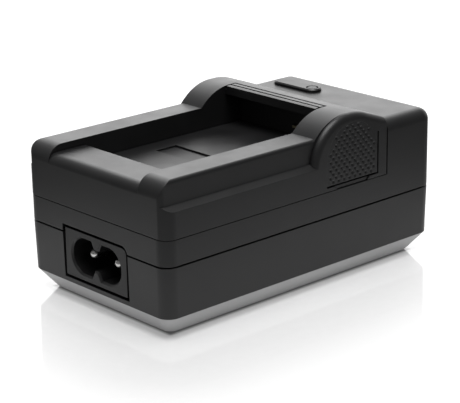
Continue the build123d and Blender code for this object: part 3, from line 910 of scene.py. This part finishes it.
    def shell(self, tree: GeometryTree) -> Socket:
        """Make the pad's rim and back.

        Args:
            tree: the tree that it is made in.

        Returns:
            The rim and the back, open at the front.
        """
        border = tree.source["Geometry"]
        curve = tree.add("GeometryNodeMeshToCurve", {0: border}).outputs[0]
        back = tree.add("GeometryNodeFillCurve", {0: curve}).outputs[0]
        offset = tree.add("ShaderNodeCombineXYZ", {"Z": tree.source["Thickness"]}).outputs[0]
        rim = tree.add("GeometryNodeExtrudeMesh", {"Mesh": border, "Offset": offset}, mode="EDGES").outputs[0]
        return tree.add("GeometryNodeFlipFaces", {0: tree.join(back, rim)}).outputs[0]

    def tree(self, material: bpy.types.Material) -> GeometryTree:
        """Build the tree that lays out the pits and closes the pad round them.

        Args:
            material: the pad's material.

        Returns:
            The tree.
        """
        tree = GeometryTree(
            "grip_lattice",
            {
                "Width": self.width,
                "Drop": self.foot - self.arch,
                "Column": self.column,
                "Pitch": self.pitch,
                "Pit": self.pit,
                "Margin": self.margin,
                "Thickness": self.thickness,
                "Floor": self.floor,
                "Material": material,
            },
        )
        grids = tree.join(*(self.lattice(tree, offset) for offset in self.stagger))
        spots = tree.add(
            "GeometryNodeDeleteGeometry",
            {0: grids, "Selection": self.outside(tree)},
            domain="POINT",
        ).outputs[0]
        solid = tree.join(self.face(tree, spots), self.pits(tree, spots), self.shell(tree))
        merged = tree.add("GeometryNodeMergeByDistance", {0: solid, "Distance": self.weld}).outputs[0]
        tree.close(merged, tree.source["Material"])
        return tree

    def build(self, wardrobe: Wardrobe) -> None:
        """Make both pads and seat them in their pockets.

        Args:
            wardrobe: where the material comes from.
        """
        tree = self.tree(wardrobe.materials[Slot.PLATE])
        for side in Side:
            outward = Vector((side.value, 0.0, 0.0))
            across = Vector((0.0, side.value, 0.0))
            up = Vector((0.0, 0.0, 1.0))
            place = Matrix((across, up, outward)).transposed().to_4x4()
            place.translation = Vector((side.value * self.seat, self.middle, self.arch))
            piece = tree.grow(f"grip_pad_{side.name.lower()}", self.outline(), place)
            wardrobe.take_on(piece, Slot.PLATE)


@dataclass
class Assembly:
    """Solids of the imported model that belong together.

    Attributes:
        nodes: the solids' names.
    """

    nodes: tuple[str, ...]

    def dress(self, wardrobe: Wardrobe) -> None:
        """Give each solid the finish of its slot.

        Args:
            wardrobe: where the materials come from.
        """
        for node in self.nodes:
            wardrobe.dress_node(node)


@dataclass
class Housing(Assembly):
    """Tray, case halves, plate and the screws that close them.

    Attributes:
        nodes: the solids' names.
        grips: the pads that are added on the plate's squeeze tongues.
    """

    nodes: tuple[str, ...] = ("bottom_tray", "lower_case", "upper_case", "battery_plate", "case_screws")
    grips: GripPads = field(default_factory=GripPads)

    def dress(self, wardrobe: Wardrobe) -> None:
        """Give the shells their finishes and add the grip pads.

        Args:
            wardrobe: where the materials come from.
        """
        super().dress(wardrobe)
        self.grips.build(wardrobe)


@dataclass
class MainsInlet(Assembly):
    """Figure-8 inlet and its two pins."""

    nodes: tuple[str, ...] = ("mains_inlet", "inlet_pin_left", "inlet_pin_right")


@dataclass
class Electronics(Assembly):
    """The board inside the case and the components on it."""

    nodes: tuple[str, ...] = (
        "main_board",
        "fuse",
        "safety_capacitor",
        "rectifier_bridge",
        "input_capacitor",
        "switching_ic",
        "transformer_core",
        "transformer_bobbin",
        "transformer_winding",
        "optocoupler",
        "output_diode",
        "output_capacitor",
        "charge_controller",
    )


@dataclass
class Contacts(Assembly):
    """Springs on the board and blades in the bay, which carry the current to the battery."""

    nodes: tuple[str, ...] = (
        "base_contact_left",
        "base_contact_middle",
        "base_contact_right",
        "plate_contact_left",
        "plate_contact_middle",
        "plate_contact_right",
    )


@dataclass
class Indicator(Assembly):
    """Status light on the board and the pipe that leads it to the top."""

    nodes: tuple[str, ...] = ("status_led", "light_pipe")


@dataclass
class Viewpoint:
    """The camera, at the angle and distance of the photograph.

    Attributes:
        azimuth: direction it looks in, from +Y towards -X.
        elevation: angle it looks down at.
        roll: how far the picture is turned.
        offset: place of the charger's origin to the right of the camera, below it and ahead of it.
        focal_pixels: focal length in pixels of the picture.
        image_width: width of the picture in pixels.
        sensor: width of the sensor in millimetres.
        nearest: distance at which the view begins.
    """

    azimuth: float = math.radians(47.7506)
    elevation: float = math.radians(18.3233)
    roll: float = math.radians(0.8907)
    offset: tuple[float, float, float] = (1.4798 * MM, 15.2124 * MM, 392.0667 * MM)
    focal_pixels: float = 1680.0
    image_width: float = 460.0
    sensor: float = 36.0
    nearest: float = 10 * MM

    def build(self) -> None:
        """Make the camera and set it as the scene's own."""
        flat = math.cos(self.elevation)
        ahead = Vector(
            (-math.sin(self.azimuth) * flat, math.cos(self.azimuth) * flat, -math.sin(self.elevation))
        )
        level = Vector((math.cos(self.azimuth), math.sin(self.azimuth), 0.0))
        down = ahead.cross(level)
        right = math.cos(self.roll) * level + math.sin(self.roll) * down
        below = math.cos(self.roll) * down - math.sin(self.roll) * level
        data = bpy.data.cameras.new("camera")
        data.sensor_fit = "HORIZONTAL"
        data.sensor_width = self.sensor
        data.lens = self.focal_pixels * self.sensor / self.image_width
        data.clip_start = self.nearest
        camera = bpy.data.objects.new("camera", data)
        camera.matrix_world = Matrix((right, -below, -ahead)).transposed().to_4x4()
        camera.location = -(self.offset[0] * right + self.offset[1] * below + self.offset[2] * ahead)
        bpy.context.scene.collection.objects.link(camera)
        bpy.context.scene.camera = camera


@dataclass
class Softbox:
    """A large soft lamp that faces the charger.

    Attributes:
        name: the lamp's name.
        spot: where it stands, in metres.
        size: its width and height, in metres.
        watts: its power.
        aim: the point that it faces, in metres.
    """

    name: str
    spot: tuple[float, float, float]
    size: tuple[float, float]
    watts: float
    aim: tuple[float, float, float] = (0.0, 0.0, 0.015)

    def build(self) -> None:
        """Make the lamp."""
        data = bpy.data.lights.new(self.name, "AREA")
        data.shape = "RECTANGLE"
        data.size, data.size_y = self.size
        data.energy = self.watts
        lamp = bpy.data.objects.new(self.name, data)
        lamp.location = self.spot
        way = Vector(self.aim) - Vector(self.spot)
        lamp.rotation_euler = way.to_track_quat("-Z", "Y").to_euler()
        lamp.visible_camera = False
        bpy.context.scene.collection.objects.link(lamp)


@dataclass
class Studio:
    """White table with a faint mirror near the charger, painted light that fades away from it, a painted
    contact shadow at the tray's foot and a painted glow from below, a dim room with a white wall, and soft
    lamps.

    Attributes:
        table: length of the table's sides, in metres.
        clearance: gap between the charger and the table.
        white: tone of the table near the charger, where painted light makes it brightest.
        dim: tone of the table far from it, where the painted light has faded.
        painted_light_falloff: distances from the charger between which white turns to dim, a painted falloff
            of light.
        roughness: roughness of the table.
        specular: strength of its reflections.
        dust: size of the dust on it.
        dust_tone: darkest and lightest share that the dust leaves of its tone.
        foot: how far the tray's foot stands in from the charger's outline.
        contact: width of the painted contact shadow, a dark line round the foot.
        shade: share of the table's tone that is left at the foot, a painted contact shadow.
        mirror: share of the table's finish that mirrors, beside the charger.
        mirror_reach: distance at which the mirror has faded away.
        mirror_blur: roughness of the mirror.
        glow: brightness added for the camera, near the charger and far from it.
        sheen: brightness added near the charger for what mirrors the table.
        painted_underglow: light that the table gives off near the charger, a painted glow that lights it from
            below though the table is no lamp.
        room: brightness of the room.
        behind: direction of the white wall.
        wall: values between which the wall sets in, 1 being its middle.
        lamps: the soft lamps.
    """

    table: float = 6.0
    clearance: float = 0.02 * MM
    white: float = 0.9
    dim: float = 0.18
    painted_light_falloff: Range = (20.0 * MM, 80.0 * MM)
    roughness: float = 0.6
    specular: float = 0.2
    dust: float = 2.0 * MM
    dust_tone: Range = (0.98, 1.0)
    foot: float = 3.9 * MM
    contact: float = 1.0 * MM
    shade: float = 0.35
    mirror: float = 0.27
    mirror_reach: float = 36.0 * MM
    mirror_blur: float = 0.08
    glow: Range = (0.2, 1.0)
    sheen: float = 0.05
    painted_underglow: float = 0.4
    room: float = 0.15
    behind: tuple[float, float, float] = (-0.74, 0.67, 0.0)
    wall: Range = (0.2, 0.8)
    lamps: tuple[Softbox, ...] = (
        Softbox("back_box", (-0.6, 0.56, 0.4), (0.9, 0.78), 2.95),
        Softbox("top_box", (0.12, -0.08, 0.7), (0.5, 0.5), 4.4),
    )

    def distance(self, surface: Surface, inset: float = 0.0) -> Socket:
        """Measure how far a point of the table is from the charger's outline.

        Args:
            surface: the table's material.
            inset: how far the outline is moved in first, in metres.

        Returns:
            The distance, in metres.
        """
        low, high = (Vector(corner) for corner in CAD_BOX)
        half = ((high.x - low.x) / 2 - inset, (high.y - low.y) / 2 - inset, 1.0)
        place = surface.vector("ABSOLUTE", surface.place).outputs[0]
        beyond = surface.vector("SUBTRACT", place, half).outputs[0]
        outside = surface.vector("MAXIMUM", beyond, (0.0, 0.0, 0.0)).outputs[0]
        return surface.vector("LENGTH", outside).outputs["Value"]

    def table_top(self, surface: Surface, near: Socket, clear: Socket) -> Socket:
        """Make the table's own finish: white near the charger in painted light that dims away from it, with a
        painted contact shadow at the tray's foot and a mirror that fades away from it.

        Args:
            surface: the table's material.
            near: 1 beside the charger, 0 far from it.
            clear: 0 at the tray's foot, 1 away from it; the mask of the painted contact shadow.

        Returns:
            The finish's shader.
        """
        dust = surface.spread(surface.noise(surface.place, self.dust), *self.dust_tone)
        # Painted light: the table's tone fades from white beside the charger to dim far from it.
        painted_light_falloff = surface.spread(near, self.dim, self.white, 0.0, 1.0)
        # Painted contact shadow: the table's tone darkens towards the tray's foot.
        shade = surface.spread(clear, self.shade, 1.0, 0.0, 1.0)
        tone = surface.product(dust, painted_light_falloff, shade)
        surface.set(colour=tone, roughness=self.roughness, specular=self.specular)
        share = surface.spread(self.distance(surface), self.mirror, 0.0, 0.0, self.mirror_reach)
        gloss = surface.add("ShaderNodeBsdfAnisotropic", {"Roughness": self.mirror_blur}).outputs[0]
        shaders = {0: share, 1: surface.shader.outputs[0], 2: gloss}
        return surface.add("ShaderNodeMixShader", shaders).outputs[0]

    def added_light(self, surface: Surface, near: Socket, clear: Socket) -> Socket:
        """Make the light that the table adds for the camera, for reflections, and as a painted glow that
        lights the charger from below.

        Args:
            surface: the table's material.
            near: 1 beside the charger, 0 far from it.
            clear: 0 at the tray's foot, 1 away from it; the mask of the painted contact shadow.

        Returns:
            The light's shader.
        """
        path = surface.add("ShaderNodeLightPath").outputs
        beside, far = self.glow
        level = surface.spread(near, far, beside, 0.0, 1.0)
        # Painted contact line: the camera's glow fades out at the tray's foot, leaving the table's real shade
        # there.
        seen = surface.product(path["Is Camera Ray"], level, clear)
        shown = surface.product(surface.mirrored(path), near, self.sheen)
        # Painted glow: near the charger the table gives off light to diffuse rays, lighting the tray from
        # below.
        given = surface.product(path["Is Diffuse Ray"], near, self.painted_underglow)
        total = surface.math("ADD", surface.math("ADD", seen, shown), given)
        return surface.add("ShaderNodeEmission", {"Strength": total}).outputs[0]

    def floor_material(self) -> bpy.types.Material:
        """Make the table's material.

        Returns:
            The material.
        """
        surface = Surface("table_white")
        near = surface.spread(self.distance(surface), 1.0, 0.0, *self.painted_light_falloff)
        # Mask of the painted contact shadow round the tray's foot.
        clear = surface.spread(self.distance(surface, self.foot), 0.0, 1.0, 0.0, self.contact)
        shaders = {0: self.table_top(surface, near, clear), 1: self.added_light(surface, near, clear)}
        lit = surface.add("ShaderNodeAddShader", shaders).outputs[0]
        surface.feed(surface.tree.nodes["Material Output"].inputs["Surface"], lit)
        return surface.material

    def floor(self) -> bpy.types.Object:
        """Make the table.

        Returns:
            The table, a square just under the charger.
        """
        half = self.table / 2
        signs = ((-1, -1), (1, -1), (1, 1), (-1, 1))
        corners = [(x * half, y * half, -self.clearance) for x, y in signs]
        mesh = bpy.data.meshes.new("table")
        mesh.from_pydata(corners, [], [range(len(corners))])
        mesh.materials.append(self.floor_material())
        table = bpy.data.objects.new("table", mesh)
        bpy.context.scene.collection.objects.link(table)
        return table

    def surround(self) -> bpy.types.World:
        """Make the room: dim, with a white wall behind the charger.

        Returns:
            The world.
        """
        world = bpy.data.worlds.new("surround")
        world.use_nodes = True
        sky = Graph(world.node_tree)
        way = sky.add("ShaderNodeTexCoord").outputs["Generated"]
        facing = sky.vector("DOT_PRODUCT", way, self.behind).outputs["Value"]
        rear = sky.spread(facing, 0.0, 1.0, *self.wall)
        path = sky.add("ShaderNodeLightPath").outputs
        seen = sky.math("MAXIMUM", path["Is Camera Ray"], sky.product(sky.mirrored(path), rear))
        backdrop = world.node_tree.nodes["Background"]
        sky.feed(backdrop.inputs["Strength"], sky.spread(seen, self.room, 1.0, 0.0, 1.0))
        sky.feed(backdrop.inputs["Color"], (1.0, 1.0, 1.0, 1.0))
        return world

    def build(self) -> None:
        """Set up the table, the room and the lamps."""
        self.floor()
        bpy.context.scene.world = self.surround()
        for lamp in self.lamps:
            lamp.build()
        bpy.context.scene.view_settings.view_transform = "Standard"


def main() -> None:
    """Dress the charger piece by piece and set up the studio."""
    logging.basicConfig(level=logging.INFO, format="%(name)s: %(message)s")
    wardrobe = Wardrobe(Finishes())
    for assembly in (Housing(), MainsInlet(), Electronics(), Contacts(), Indicator()):
        assembly.dress(wardrobe)
    Studio().build()
    Viewpoint().build()


if __name__ == "__main__":
    main()
